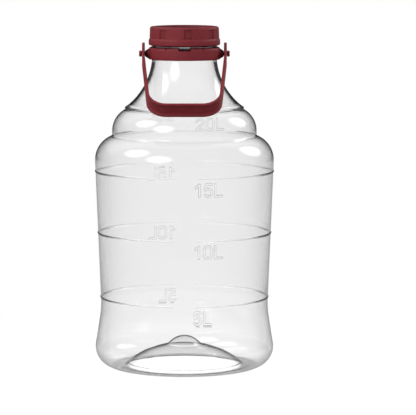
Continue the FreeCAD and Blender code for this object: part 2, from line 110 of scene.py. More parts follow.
def wall_radius(height):
    """The radius of the outside where the numerals stand: the waist, the barrel or the upper dome."""
    if height > UPPER_DOME[1]:
        return UPPER_DOME[0] + math.sqrt(UPPER_DOME[2] ** 2 - (height - UPPER_DOME[1]) ** 2)
    if height > BARREL_FOOT[1]:
        return BARREL_FOOT[0] + (height - BARREL_FOOT[1]) * BARREL_LEAN
    return WAIST[0] - math.sqrt(WAIST[2] ** 2 - (height - WAIST[1]) ** 2)


jar_bm = bmesh.new()
# A layer of painted grey shade for the flanks of the numerals and the volume lines
relief_painted_shade = jar_bm.verts.layers.float.new("relief_painted_shade")
tip = jar_bm.verts.new((0, 0, NUB_TOP * MM))
tip = arc_to(jar_bm, tip, NUB[0], NUB[1], -53.13, 9)
nub_edge = tip
tip = arc_to(jar_bm, tip, PUNT[0], PUNT[1], -24.61, 12)
punt_edge = tip
tip = line_to(jar_bm, tip, 88, 0)
foot_edge = tip
tip = line_to(jar_bm, tip, FOOT_CORNER[0], 0, 2)
tip = arc_to(jar_bm, tip, FOOT_CORNER[0], FOOT_CORNER[1], 99.176, 20)
tip = line_to(jar_bm, tip, 128.13, 75.49, 5)
tip = arc_to(jar_bm, tip, WAIST[0], WAIST[1], -11.483, 7)
# Heights up the barrel with the steps to each, finest at the volume lines and coarse between the labels
barrel_rows = (
    (104.7, 1), (108.3, 12), (176.5, 9), (200.5, 6), (202.4, 1), (206.0, 12),
    (268.5, 9), (292.5, 6), (295.4, 1), (299.0, 12), (312.42, 3))
for row_height, row_steps in barrel_rows:
    tip = line_to(jar_bm, tip, wall_radius(row_height), row_height, row_steps)
tip = arc_to(jar_bm, tip, LOWER_DOME[0], LOWER_DOME[1], 73.155, 20)
shoulder_crease = tip
tip = line_to(jar_bm, tip, UPPER_DOME[0] + UPPER_DOME[2], UPPER_DOME[1], 3)
tip = arc_to(jar_bm, tip, UPPER_DOME[0], UPPER_DOME[1], 64.87, 16)
tip = line_to(jar_bm, tip, FLARE_FOOT, 394.3, 8)
tip = arc_to(jar_bm, tip, 148.4, NECK_FOOT, -48.02, 20)
ledge_edge = tip
for neck_height in (465.6, 466.4, 475, 483.7, RING_FOOT):
    tip = line_to(jar_bm, tip, NECK_RADIUS, neck_height)
ring_foot = tip
tip = line_to(jar_bm, tip, 48.6, RING_FOOT)
ring_low = tip
tip = line_to(jar_bm, tip, 48.6, RING_TOP)
ring_high = tip
tip = line_to(jar_bm, tip, FINISH_RADIUS, RING_TOP)
tip = line_to(jar_bm, tip, FINISH_RADIUS, RIM, 26)
rim_edge = tip
tip = line_to(jar_bm, tip, BORE_RADIUS, RIM)
soften(jar_bm, [nub_edge, punt_edge, foot_edge], 0.9)
soften(jar_bm, [shoulder_crease], 2.2, 5)
soften(jar_bm, [ledge_edge, ring_foot, ring_low, ring_high, rim_edge], 0.45, 2)
# Half a turn from the front, finest at the ends of the volume lines and then where the labels stand
jar_half_turn = ((6.7, 3), (1.2, 3), (20.1, 11), (144.1, 48), (1.2, 3), (6.7, 3))
lathe(jar_bm, jar_bm.verts[:] + jar_bm.edges[:], jar_half_turn * 2)

# Volume lines: narrow beads in two halves, with a gap of about 15 degrees at the front and the back. Each
# has its height, half its width and how far it stands proud.
volume_lines = ((106.5, 1.5, 1.0), (204.2, 1.5, 1.0), (297.2, 1.5, 1.0), (392.65, 1.9, 1.9))
LINE_GAP_HALF = 7.3
LINE_RUN_OUT = 1.4
LINE_FULLNESS = 0.8
# Numerals of 3 mm strokes: points of each stroke as shares of its width and height
numeral_strokes = {
    "0": ((0, 0.26), (0, 0.74), (0.1, 0.91), (0.32, 1), (0.68, 1), (0.9, 0.91), (1, 0.74),
          (1, 0.26), (0.9, 0.09), (0.68, 0), (0.32, 0), (0.1, 0.09), (0, 0.26)),
    "1": ((0, 0.76), (1, 1), (1, 0)),
    "2": ((0, 0.78), (0.1, 0.92), (0.34, 1), (0.68, 1), (0.93, 0.9), (1, 0.74), (0.9, 0.56),
          (0, 0), (1, 0)),
    "5": ((0.96, 1), (0.1, 1), (0.04, 0.54), (0.3, 0.62), (0.62, 0.62), (0.9, 0.5), (1, 0.32),
          (0.93, 0.12), (0.68, 0), (0.3, 0), (0, 0.12)),
    "L": ((0, 1), (0, 0), (1, 0)),
}
# Each label: the height of its foot, then its figures, with where each starts round the wall and its width
labels = (
    (81.0, (("5", 14.9, 8.9), ("L", 29.2, 10.6))),
    (179.5, (("1", 16.2, 5.2), ("0", 29.3, 11.2), ("L", 46.2, 11.0))),
    (271.5, (("1", 17.1, 5.2), ("5", 31.0, 10.0), ("L", 46.5, 10.6))),
    (367.5, (("2", 18.0, 10.4), ("0", 33.5, 11.0), ("L", 50.2, 10.0))),
)
NUMERAL_HEIGHT = 17.6
NUMERAL_PROUD = 0.5
STROKE_HALF = 1.5
STROKE_FLANK = 0.9
LABEL_MARGIN = 3
LABEL_START, LABEL_END = 11, 64
# Shares of the height and of the painted grey shade that are left at the back and on the upper dome
BACK_PROUD, BACK_PAINTED_SHADE = 0.2, 0.8
DOME_PROUD, DOME_PAINTED_SHADE = 0.4, 0.9
# The painted grey shade on a stroke's upright edges, and what its level edges have on top
UPRIGHT_PAINTED_SHADE, LEVEL_PAINTED_SHADE = 0.85, 0.4


def from_front(point):
    """Degrees round from the front, counted anew from the back, so that both halves match."""
    return math.degrees(math.atan2(point.x, -point.y)) % 180


def label_place(label_foot, point):
    """Where a point of the wall stands in a label, in mm along it and up it, or None outside it."""
    height = point.z / MM
    up = height - label_foot
    if label_foot > UPPER_DOME[1] and height > UPPER_DOME[1]:
        angles = [math.asin(min((z - UPPER_DOME[1]) / UPPER_DOME[2], 1)) for z in (height, label_foot)]
        up = (angles[0] - angles[1]) * UPPER_DOME[2]
    along = math.radians(from_front(point)) * math.hypot(point.x, point.y) / MM
    if -LABEL_MARGIN < up < NUMERAL_HEIGHT + LABEL_MARGIN and LABEL_START < along < LABEL_END:
        return Vector((along, up))
    return None


def stroke_offset(point, points):
    """The shortest way from a stroke to a point."""
    offsets = []
    for a, b in zip(points, points[1:]):
        run = b - a
        share = min(max((point - a).dot(run) / run.length_squared, 0), 1)
        offsets.append(point - a - run * share)
    return min(offsets, key=lambda offset: offset.length)


# The wall gets half a millimetre of detail where a label stands, and is turned true again there
label_faces = [
    face for face in jar_bm.faces
    if any(label_place(foot, face.calc_center_median()) for foot, _ in labels)]
label_edges = {edge for face in label_faces for edge in face.edges}
bmesh.ops.subdivide_edges(jar_bm, edges=list(label_edges), cuts=6, use_grid_fill=True)
for foot, figures in labels:
    paths = []
    for figure, start, width in figures:
        paths.append([
            Vector((start + across * width, up * NUMERAL_HEIGHT))
            for across, up in numeral_strokes[figure]])
    for vert in jar_bm.verts:
        spot = label_place(foot, vert.co)
        if not spot:
            continue
        height = vert.co.z / MM
        outward = Vector((vert.co.x, vert.co.y, 0)).normalized()
        vert.co = outward * (wall_radius(height) * MM) + Vector((0, 0, vert.co.z))
        normal = outward
        if foot > UPPER_DOME[1]:
            tilt = (height - UPPER_DOME[1]) / UPPER_DOME[2]
            normal = outward * math.sqrt(1 - tilt * tilt) + Vector((0, 0, tilt))
        offset = min((stroke_offset(spot, path) for path in paths), key=lambda way: way.length)
        raised = ease((STROKE_HALF + STROKE_FLANK / 2 - offset.length) / STROKE_FLANK)
        level = abs(offset.y) / max(offset.length, 0.01)
        proud, painted_share = (1, 1) if vert.co.y < 0 else (BACK_PROUD, BACK_PAINTED_SHADE)
        if foot > UPPER_DOME[1]:
            proud *= DOME_PROUD
            painted_share *= DOME_PAINTED_SHADE
        # Painted shade, greyest halfway up the flank of a stroke
        vert[relief_painted_shade] = 4 * raised * (1 - raised) * painted_share * (UPRIGHT_PAINTED_SHADE + LEVEL_PAINTED_SHADE * level)
        vert.co += normal * (NUMERAL_PROUD * MM * raised * proud)


def line_rise(point):
    """How far a volume line lifts a point of the wall, in mm."""
    turned = from_front(point)
    past_gap = math.radians(min(turned, 180 - turned) - LINE_GAP_HALF)
    past_gap *= math.hypot(point.x, point.y) / MM
    for line_height, line_half, line_proud in volume_lines:
        off = (point.z / MM - line_height) / line_half
        if abs(off) < 1:
            return line_proud * (1 - off * off) ** LINE_FULLNESS * ease(past_gap / LINE_RUN_OUT + 0.5)
    return 0.0


# Thread: a single start of one and a half turns, which runs out over a little of a turn at each end
THREAD_PITCH = 6
THREAD_TURNS = 1.5
THREAD_RUN_OUT = 0.04
THREAD_HALF = 1.5
THREAD_FLANK = 0.9
THREAD_PROUD = 2.2
JAR_THREAD_FOOT = 491.6


def thread_rise(point, foot):
    """How far a thread that starts at a height in mm stands out from its wall at a point, in mm."""
    turns = math.atan2(point.y, point.x) / FULL_TURN % 1
    rise = 0.0
    for turn in (turns, turns + 1):
        off = abs(point.z / MM - foot - THREAD_PITCH * turn)
        run_out = ease(min(turn, THREAD_TURNS - turn) / THREAD_RUN_OUT)
        rise += THREAD_PROUD * run_out * min(max((THREAD_HALF - off) / THREAD_FLANK, 0), 1)
    return rise


# A line's painted grey shade grows from the front to the sides, between the first two angles, and falls to a
# share at the back, between the last two
FRONT_LINE, BACK_LINE, BACK_DOME_LINE = 0.25, 0.12, 0.5
line_grows = (25, 70)
line_falls = (90, 108)
for vert in jar_bm.verts:
    height = vert.co.z / MM
    outward = Vector((vert.co.x, vert.co.y, 0)).normalized()
    rise = line_rise(vert.co)
    if rise:
        turned = abs(math.degrees(math.atan2(vert.co.x, -vert.co.y)))
        back = BACK_LINE if height < UPPER_DOME[1] else BACK_DOME_LINE
        grown = ease((turned - line_grows[0]) / (line_grows[1] - line_grows[0]))
        kept = ease((line_falls[1] - turned) / (line_falls[1] - line_falls[0]))
        dark = (FRONT_LINE + (1 - FRONT_LINE) * grown) * (back + (1 - back) * kept)
        vert[relief_painted_shade] = min(rise, 1) ** 2 * dark
    vert.co += outward * (rise * MM)
    if height > RING_TOP + 0.5:
        vert.co += outward * (thread_rise(vert.co, JAR_THREAD_FOOT) * MM)

# The inside follows the outside down to the punt, and at the back it follows the volume lines too
INNER_LINE = 0.9
drawn = set(jar_bm.verts)
tip = jar_bm.verts.new((0, -BORE_RADIUS * MM, RIM * MM))
tip = line_to(jar_bm, tip, BORE_RADIUS, NECK_FOOT, 4)
tip = arc_to(jar_bm, tip, 138.53, NECK_FOOT, 57.69, 16)
tip = line_to(jar_bm, tip, FLARE_FOOT - WALL, 390.23, 2)
tip = arc_to(jar_bm, tip, UPPER_DOME[0], UPPER_DOME[1], -66.11, 12)
tip = line_to(jar_bm, tip, UPPER_DOME[0] + UPPER_DOME[2] - WALL, 349.68, 2)
inner_crease = tip
tip = arc_to(jar_bm, tip, LOWER_DOME[0], LOWER_DOME[1], -74.45, 14)
inner_rows = (
    (299.2, 2), (295.2, 10), (206.2, 4), (202.2, 10), (108.5, 4), (104.5, 10), (102.45, 1))
for row_height, row_steps in inner_rows:
    tip = line_to(jar_bm, tip, wall_radius(row_height) - WALL, row_height, row_steps)
tip = arc_to(jar_bm, tip, WAIST[0], WAIST[1], 11.483, 4)
tip = line_to(jar_bm, tip, 133.43, 35.17, 3)
tip = arc_to(jar_bm, tip, FOOT_CORNER[0], FOOT_CORNER[1], -99.176, 14)
tip = line_to(jar_bm, tip, 88.4, WALL)
inner_foot = tip
tip = line_to(jar_bm, tip, 86.2, 5.7)
inner_punt = tip
tip = arc_to(jar_bm, tip, PUNT[0], PUNT[1] + WALL, 24.61, 10)
inner_nub = tip
tip = arc_to(jar_bm, tip, NUB[0], NUB[1] + WALL, 53.13, 8)
tip.co = (0, 0, (NUB_TOP + WALL) * MM)
soften(jar_bm, [inner_foot, inner_punt, inner_nub], 0.9)
soften(jar_bm, [inner_crease], 2.0, 5)
inner_verts = [vert for vert in jar_bm.verts if vert not in drawn]
inner_edges = list({edge for vert in inner_verts for edge in vert.link_edges})
lathe(jar_bm, inner_verts + inner_edges, jar_half_turn * 2)
for vert in set(jar_bm.verts) - drawn:
    if WAIST[1] < vert.co.z / MM < LOWER_DOME[1] and vert.co.y > 0:
        outward = Vector((vert.co.x, vert.co.y, 0)).normalized()
        vert.co += outward * (INNER_LINE * MM * line_rise(vert.co) * ease(outward.y / 0.45))
bmesh.ops.recalc_face_normals(jar_bm, faces=jar_bm.faces)


def linear(colour):
    """An sRGB hex colour as linear red, green, blue and alpha."""
    shares = [int(colour[place:place + 2], 16) / 255 for place in (1, 3, 5)]
    return [
        share / 12.92 if share <= 0.04045 else ((share + 0.055) / 1.055) ** 2.4
        for share in shares] + [1]


def add_node(tree, kind, inputs=None, **settings):
    """Adds a node with its settings, and sets or links its inputs."""
    made = tree.nodes.new(kind)
    for name, value in settings.items():
        setattr(made, name, value)
    for socket, value in (inputs or {}).items():
        if isinstance(value, bpy.types.NodeSocket):
            tree.links.new(value, made.inputs[socket])
        else:
            made.inputs[socket].default_value = value
    return made


def add_piece(name, bm, material, body, node):
    """Puts a finished mesh in the scene, on its body and in place of its CAD node."""
    mesh = bpy.data.meshes.new(name)
    bm.to_mesh(mesh)
    bm.free()
    mesh.shade_smooth()
    mesh.materials.append(material)
    piece = bpy.data.objects.new(name, mesh)
    bpy.context.scene.collection.objects.link(piece)
    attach(piece, body)
    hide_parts(node)
    return piece


# Clear PET, stretch blown: glossy, with the slow ripple of a wall that was drawn unevenly, about 40 mm
# from crest to crest, and a faint haze that varies over 15 mm. A grey line of painted shade lies round the
# numerals and along the volume lines, where their raised edges would turn light away.
pet = bpy.data.materials.new("clear_pet_blown")
pet.use_nodes = True
tree = pet.node_tree
tree.nodes.clear()
place = add_node(tree, "ShaderNodeTexCoord").outputs["Object"]
ripple = add_node(tree, "ShaderNodeTexNoise", {"Vector": place, "Scale": 1 / (40 * MM), "Detail": 1.0})
wall_bump = add_node(tree, "ShaderNodeBump", {
    "Height": ripple.outputs["Fac"], "Strength": 0.25, "Distance": 0.15 * MM})
haze = add_node(tree, "ShaderNodeTexNoise", {"Vector": place, "Scale": 1 / (15 * MM), "Detail": 2.0})
haze_range = add_node(tree, "ShaderNodeMapRange", {
    "Value": haze.outputs["Fac"], "To Min": 0.0, "To Max": 0.03})
# Painted shade: the clear wall greys toward #2c2c2c where the flanks of the numerals and volume lines would
# turn light away
relief = add_node(tree, "ShaderNodeAttribute", attribute_name="relief_painted_shade")
pet_painted_shade = add_node(tree, "ShaderNodeMix", {
    "Factor": relief.outputs["Fac"], "A": linear("#ffffff"), "B": linear("#2c2c2c")}, data_type="RGBA")
pet_shader = add_node(tree, "ShaderNodeBsdfPrincipled", {
    "Base Color": pet_painted_shade.outputs["Result"], "Roughness": haze_range.outputs["Result"], "IOR": 1.575,
    "Transmission Weight": 1.0, "Normal": wall_bump.outputs["Normal"]})
add_node(tree, "ShaderNodeOutputMaterial", {"Surface": pet_shader.outputs["BSDF"]})
add_piece("jar_blown", jar_bm, pet, "jar", "jar")

# Collar: a dark red polypropylene ring that snaps over the neck ring and turns on the neck. Its thin lip
# has a window at the front and the back with a slit each side, and a headed peg stands out each side.
PIVOT = 474.1
COLLAR_BORE, COLLAR_OUT = 47.6, 54
COLLAR_FOOT, COLLAR_TOP = 466, 484.4
LIP_ROUND = 4
WINDOW_HALF, WINDOW_SILL = 9.75, 480.4
SLIT_ANGLE, SLIT_HALF, SLIT_SILL = 31.7, 0.75, 481.2
collar_bm = bmesh.new()
tip = collar_bm.verts.new((0, -COLLAR_BORE * MM, COLLAR_FOOT * MM))
tip = line_to(collar_bm, tip, COLLAR_OUT, COLLAR_FOOT)
skirt_foot = tip
tip = line_to(collar_bm, tip, COLLAR_OUT, WINDOW_SILL, 3)
tip = arc_to(collar_bm, tip, COLLAR_OUT - LIP_ROUND, WINDOW_SILL, 11.54, 1)
tip = arc_to(collar_bm, tip, COLLAR_OUT - LIP_ROUND, WINDOW_SILL, 78.46, 5)
tip = line_to(collar_bm, tip, COLLAR_BORE, COLLAR_TOP)
tip = line_to(collar_bm, tip, COLLAR_BORE, SLIT_SILL, 5)
tip = line_to(collar_bm, tip, COLLAR_BORE, WINDOW_SILL)
tip = line_to(collar_bm, tip, COLLAR_BORE, COLLAR_FOOT, 3)
soften(collar_bm, [skirt_foot], 0.9)
# A quarter turn from the middle of a window: half the window, lip, slit, lip
collar_quarter = ((WINDOW_HALF, 6), (21.2, 12), (2 * SLIT_HALF, 1), (57.55, 32))
lathe(collar_bm, collar_bm.verts[:] + collar_bm.edges[:], (collar_quarter + collar_quarter[::-1]) * 2)
bmesh.ops.recalc_face_normals(collar_bm, faces=collar_bm.faces)
# Each cut in the lip: its middle in degrees from the front, half its width and its sill
lip_cuts = (
    (0, WINDOW_HALF, WINDOW_SILL), (SLIT_ANGLE, SLIT_HALF, SLIT_SILL),
    (180 - SLIT_ANGLE, SLIT_HALF, SLIT_SILL), (180, WINDOW_HALF, WINDOW_SILL))


def in_lip_cut(point):
    """Whether a point of the ring lies where a window or a slit is cut away."""
    turned = from_front(point)
    return any(
        abs(turned - middle) < half and point.z / MM > sill
        for middle, half, sill in lip_cuts)


cut_faces = [face for face in collar_bm.faces if in_lip_cut(face.calc_center_median())]
bmesh.ops.delete(collar_bm, geom=cut_faces, context="FACES")
# Each cut is closed between the inside and the outside of the ring. The last cut is the first of the next
# half turn.
for half_turn in (0, 180):
    for middle, half, _ in lip_cuts[:3]:
        walls = []
        for edge in collar_bm.edges:
            if not edge.is_boundary:
                continue
            point = (edge.verts[0].co + edge.verts[1].co) / 2
            turned = math.degrees(math.atan2(point.x, -point.y)) - half_turn
            turned = (turned - middle + 180) % 360 - 180
            radii = [math.hypot(vert.co.x, vert.co.y) / MM for vert in edge.verts]
            across_lip = min(radii) < COLLAR_BORE + 0.1 and max(radii) > COLLAR_BORE + 0.4
            if abs(turned) < half + 0.1 and not across_lip:
                walls.append(edge)
        bmesh.ops.bridge_loops(collar_bm, edges=walls)
bmesh.ops.recalc_face_normals(collar_bm, faces=collar_bm.faces)

# Pegs: a cone off the ring, a shank through the bail's ear and a chamfered head, turned on end and then
# laid out to the sides
PEG_ROOT, PEG_SHOULDER, HEAD_BACK, HEAD_FRONT = 50.8, 59, 64.2, 68.2
SHANK, HEAD, HEAD_CHAMFER = 3.2, 4.6, 0.9
for side in (90, -90):
    drawn = set(collar_bm.verts)
    tip = collar_bm.verts.new((0, 0, PEG_ROOT * MM))
    tip = line_to(collar_bm, tip, 7.9, PEG_ROOT)
    tip = line_to(collar_bm, tip, 7.6, COLLAR_OUT)
    tip = line_to(collar_bm, tip, 4.4, PEG_SHOULDER)
    boss_edge = tip
    tip = line_to(collar_bm, tip, SHANK, PEG_SHOULDER)
    tip = line_to(collar_bm, tip, SHANK, HEAD_BACK)
    tip = line_to(collar_bm, tip, HEAD, HEAD_BACK)
    head_back = tip
    tip = line_to(collar_bm, tip, HEAD, HEAD_FRONT - HEAD_CHAMFER)
    head_side = tip
    tip = line_to(collar_bm, tip, HEAD - HEAD_CHAMFER, HEAD_FRONT)
    head_front = tip
    tip = line_to(collar_bm, tip, 0, HEAD_FRONT)
    soften(collar_bm, [boss_edge, head_back, head_side, head_front], 0.35)
    peg_verts = [vert for vert in collar_bm.verts if vert not in drawn]
    peg_edges = list({edge for vert in peg_verts for edge in vert.link_edges})
    lathe(collar_bm, peg_verts + peg_edges, ((360, 40),))
    peg_verts = [vert for vert in collar_bm.verts if vert not in drawn]
    lay = Matrix.Translation((0, 0, PIVOT * MM)) @ Matrix.Rotation(math.radians(side), 4, "Y")
    bmesh.ops.transform(collar_bm, matrix=lay, verts=peg_verts)
bmesh.ops.recalc_face_normals(collar_bm, faces=collar_bm.faces)

# Red polypropylene, moulded: half matt from a fine spark texture of about 0.4 mm, a little uneven in
# tone over 12 mm where the colour flowed, and with painted shade that darkens it in its hollows.
red = bpy.data.materials.new("red_polypropylene_moulded")
red.use_nodes = True
tree = red.node_tree
tree.nodes.clear()
place = add_node(tree, "ShaderNodeTexCoord").outputs["Object"]
flow = add_node(tree, "ShaderNodeTexNoise", {"Vector": place, "Scale": 1 / (12 * MM), "Detail": 3.0})
flow_shade = add_node(tree, "ShaderNodeMix", {
    "Factor": flow.outputs["Fac"], "A": linear("#80282f"), "B": linear("#882f36")}, data_type="RGBA")
# Painted shade: the base colour darkens toward #4c161b where ambient occlusion within 7 mm finds hollows and
# gaps
openness = add_node(tree, "ShaderNodeAmbientOcclusion", {"Distance": 7 * MM}, samples=8)
clear_of_painted_shade = add_node(tree, "ShaderNodeMapRange", {
    "Value": openness.outputs["AO"], "From Min": 0.3, "From Max": 0.95})
red_with_painted_shade = add_node(tree, "ShaderNodeMix", {
    "Factor": clear_of_painted_shade.outputs["Result"], "A": linear("#4c161b"),
    "B": flow_shade.outputs["Result"]}, data_type="RGBA")
spark = add_node(tree, "ShaderNodeTexNoise", {"Vector": place, "Scale": 1 / (0.4 * MM), "Detail": 2.0})
spark_bump = add_node(tree, "ShaderNodeBump", {
    "Height": spark.outputs["Fac"], "Strength": 0.2, "Distance": 0.02 * MM})
gloss = add_node(tree, "ShaderNodeMapRange", {
    "Value": flow.outputs["Fac"], "To Min": 0.46, "To Max": 0.58})
red_shader = add_node(tree, "ShaderNodeBsdfPrincipled", {
    "Base Color": red_with_painted_shade.outputs["Result"], "Roughness": gloss.outputs["Result"], "IOR": 1.49,
    "Specular IOR Level": 0.25, "Normal": spark_bump.outputs["Normal"]})
add_node(tree, "ShaderNodeOutputMaterial", {"Surface": red_shader.outputs["BSDF"]})


def round_edges(piece, width, angle):
    """A live bevel on a moulding's sharp edges, as its mould leaves them."""
    bevel = piece.modifiers.new("mould_radius", "BEVEL")
    bevel.width = width * MM
    bevel.segments = 2
    bevel.limit_method = "ANGLE"
    bevel.angle_limit = math.radians(angle)
    bevel.harden_normals = True


collar_piece = add_piece("collar_moulded", collar_bm, red, "collar", "handle_collar")
round_edges(collar_piece, 0.25, 40)

# Bail: a strap of the same red plastic, moulded as one U whose arms lean in towards the grip. Its outer
# face is hollowed between two rims, and each ear has a flat pad round the hole for the peg.
EAR_IN, EAR_OUT = 59.65, 63.75
STRAP_HALF = 12.0
HOLLOW_HALF = 10.0
HOLLOW_FLOOR_HALF = 7.4
HOLLOW_DEPTH = 2.6
EAR_ROUND = 7.3
EAR_STRAIGHT = 12.0
LEAN = math.radians(4.8)
ARM_BEND = 60.0
ARM_RUN = 85.96
GRIP_CORNER = (26.34, -100.5)
PAD_RADIUS, PAD_INSET = 9.4, 0.6
HOLE_RADIUS = 3.4
REST_SWING = math.radians(-52.856)
bail_bm = bmesh.new()


def carry(bm, section, steps, shift=(0, 0, 0), centre=(0, 0, 0), axis=(0, 1, 0), angle=0.0):
    """Sweeps the end of a strap on by a shift or a turn, in mm and radians, and returns its new end."""
    swept = bmesh.ops.spin(
        bm, geom=section, cent=Vector(centre) * MM, axis=axis, dvec=Vector(shift) * (MM / steps),
        angle=angle, steps=steps, use_merge=False)
    return swept["geom_last"]


# Half the strap's section at the top of the right ear, from the middle of its flat inner face
flat_middle = bail_bm.verts.new((EAR_IN * MM, 0, EAR_ROUND * MM))
section_corners = []
for across, along in (
        (EAR_IN, STRAP_HALF), (EAR_OUT, STRAP_HALF), (EAR_OUT, HOLLOW_HALF),
        (EAR_OUT - HOLLOW_DEPTH, HOLLOW_FLOOR_HALF), (EAR_OUT - HOLLOW_DEPTH, 0)):
    last = section_corners[-1] if section_corners else flat_middle
    corner = bmesh.ops.extrude_vert_indiv(bail_bm, verts=[last])["verts"][0]
    corner.co = (across * MM, along * MM, EAR_ROUND * MM)
    section_corners.append(corner)
soften(bail_bm, section_corners[:4], 0.6)
half_section = bail_bm.verts[:] + bail_bm.edges[:]
ear_turn = {"centre": (0, 0, EAR_ROUND), "axis": (1, 0, 0), "angle": math.radians(180)}
other_half = carry(bail_bm, half_section, 18, **ear_turn)
end = half_section + other_half
lean_run = (ARM_RUN * math.sin(LEAN), ARM_RUN * math.cos(LEAN))
corner_turn = math.radians(90) - LEAN
end = carry(bail_bm, end, 3, shift=(0, 0, -EAR_ROUND - EAR_STRAIGHT))
end = carry(bail_bm, end, 2, centre=(EAR_IN - ARM_BEND, 0, -EAR_STRAIGHT), angle=LEAN)
end = carry(bail_bm, end, 6, shift=(-lean_run[0], 0, -lean_run[1]))
end = carry(bail_bm, end, 14, centre=(GRIP_CORNER[0], 0, GRIP_CORNER[1]), angle=corner_turn)
end = carry(bail_bm, end, 6, shift=(-2 * GRIP_CORNER[0], 0, 0))
end = carry(bail_bm, end, 14, centre=(-GRIP_CORNER[0], 0, GRIP_CORNER[1]), angle=corner_turn)
end = carry(bail_bm, end, 6, shift=(-lean_run[0], 0, lean_run[1]))
end = carry(bail_bm, end, 2, centre=(ARM_BEND - EAR_IN, 0, -EAR_STRAIGHT), angle=LEAN)
end = carry(bail_bm, end, 3, shift=(0, 0, EAR_ROUND + EAR_STRAIGHT))
# The left ear is turned from one half of the strap's end to the other
end_verts = [item for item in end if isinstance(item, bmesh.types.BMVert) and item.co.y > -0.001 * MM]
end_edges = [
    item for item in end
    if isinstance(item, bmesh.types.BMEdge) and min(vert.co.y for vert in item.verts) > -0.001 * MM]
carry(bail_bm, end_verts + end_edges, 18, **ear_turn)
bmesh.ops.remove_doubles(bail_bm, verts=bail_bm.verts, dist=0.005 * MM)
bmesh.ops.recalc_face_normals(bail_bm, faces=bail_bm.faces)
bail_piece = add_piece("bail_moulded", bail_bm, red, "bail", "bail_handle")


def carve(piece, tool_bm, operation):
    """Joins a tool's mesh to a piece or cuts it away, for good."""
    tool_mesh = bpy.data.meshes.new("tool")
    tool_bm.to_mesh(tool_mesh)
    tool_bm.free()
    tool = bpy.data.objects.new("tool", tool_mesh)
    bpy.context.scene.collection.objects.link(tool)
    cut = piece.modifiers.new("cut", "BOOLEAN")
    cut.operation = operation
    cut.solver = "EXACT"
    cut.object = tool
    cut_piece = piece.evaluated_get(bpy.context.evaluated_depsgraph_get())
    done = bpy.data.meshes.new_from_object(cut_piece)
    piece.modifiers.remove(cut)
    spare = piece.data
    piece.data = done
    done.name = spare.name + "_cut"
    bpy.data.meshes.remove(spare)
    bpy.data.objects.remove(tool)
    bpy.data.meshes.remove(tool_mesh)


def cross_rod(radius, start, end, segments):
    """A rod that lies across the jar, from one distance in mm to another."""
    rod_bm = bmesh.new()
    bmesh.ops.create_cone(
        rod_bm, cap_ends=True, segments=segments, radius1=radius * MM, radius2=radius * MM,
        depth=(end - start) * MM)
    lay = Matrix.Translation(((start + end) / 2 * MM, 0, 0)) @ Matrix.Rotation(math.radians(90), 4, "Y")
    bmesh.ops.transform(rod_bm, matrix=lay, verts=rod_bm.verts)
    return rod_bm


# The pads end just under the rims, so that no two faces lie in one plane, and the holes go right through
pad_start, pad_end = EAR_IN + PAD_INSET, EAR_OUT - 0.02
for pad in ((pad_start, pad_end), (-pad_end, -pad_start)):
    carve(bail_piece, cross_rod(PAD_RADIUS, pad[0], pad[1], 64), "UNION")
for hole_start in (EAR_IN - 2, -EAR_OUT - 2):
    carve(bail_piece, cross_rod(HOLE_RADIUS, hole_start, hole_start + 8, 40), "DIFFERENCE")
hang = Matrix.Translation((0, 0, PIVOT * MM)) @ Matrix.Rotation(REST_SWING, 4, "X")
bail_piece.data.transform(hang)
bail_piece.data.shade_smooth()
round_edges(bail_piece, 0.2, 38)

# Gasket: a flat ring cut from grey rubber sheet, loose between the jar's rim and the cap. Its CAD solid
# has that shape already, so it only gets the rubber: matt, with a fine grain of about half a millimetre.
rubber = bpy.data.materials.new("grey_rubber_cut_sheet")
rubber.use_nodes = True
tree = rubber.node_tree
tree.nodes.clear()
place = add_node(tree, "ShaderNodeTexCoord").outputs["Object"]
grain = add_node(tree, "ShaderNodeTexNoise", {"Vector": place, "Scale": 1 / (0.5 * MM), "Detail": 2.0})
rubber_shade = add_node(tree, "ShaderNodeMix", {
    "Factor": grain.outputs["Fac"], "A": linear("#62646a"), "B": linear("#74767c")}, data_type="RGBA")
rubber_shader = add_node(tree, "ShaderNodeBsdfPrincipled", {
    "Base Color": rubber_shade.outputs["Result"], "Roughness": 0.75})
add_node(tree, "ShaderNodeOutputMaterial", {"Surface": rubber_shader.outputs["BSDF"]})
seal = bpy.data.objects["cap_seal"]
for seal_slot in seal.material_slots:
    seal_slot.material = rubber

# Cap: a moulded red cap with a flange, eight wide shallow flutes and a recessed top with a round port.
# Its skirt has a little draft so that it leaves the mould, and one thread inside.
CAP_FOOT, CAP_UNDERSIDE, CAP_FLOOR, CAP_TOP = 486.4, 509.5, 512, 515
CAP_BORE = 49
FLANGE_RADIUS = 53.8
PORT_RADIUS = 9
FLUTE_COUNT = 8
FLUTE_HALF, FLUTE_FLANK = 6.2, 0.5
FLUTE_FLOOR = 50.6
CAP_THREAD_FOOT = 488.6
CAP_TURN = math.radians(6)
# The skirt's draft, with a row each side of the flutes' ends
skirt_rows = ((52.36, 497.9), (52.35, 498.4), (51.86, 511.2), (51.85, 511.6), (51.8, 512.1))
cap_bm = bmesh.new()
tip = cap_bm.verts.new((0, -CAP_BORE * MM, CAP_FOOT * MM))
tip = line_to(cap_bm, tip, 50.4, CAP_FOOT)
cap_foot = tip
tip = line_to(cap_bm, tip, FLANGE_RADIUS, 487.9)
flange_low = tip
tip = line_to(cap_bm, tip, FLANGE_RADIUS, 494.9)
flange_high = tip
tip = line_to(cap_bm, tip, 52.4, 497.1)
skirt_root = tip
for skirt_radius, skirt_height in skirt_rows:
    tip = line_to(cap_bm, tip, skirt_radius, skirt_height)
tip = arc_to(cap_bm, tip, 48.9, 512.1, 90, 8)
tip = line_to(cap_bm, tip, 46.5, CAP_TOP)
rim_edge = tip
tip = line_to(cap_bm, tip, 46.1, CAP_FLOOR)
rim_root = tip
tip = line_to(cap_bm, tip, PORT_RADIUS, CAP_FLOOR, 6)
port_edge = tip
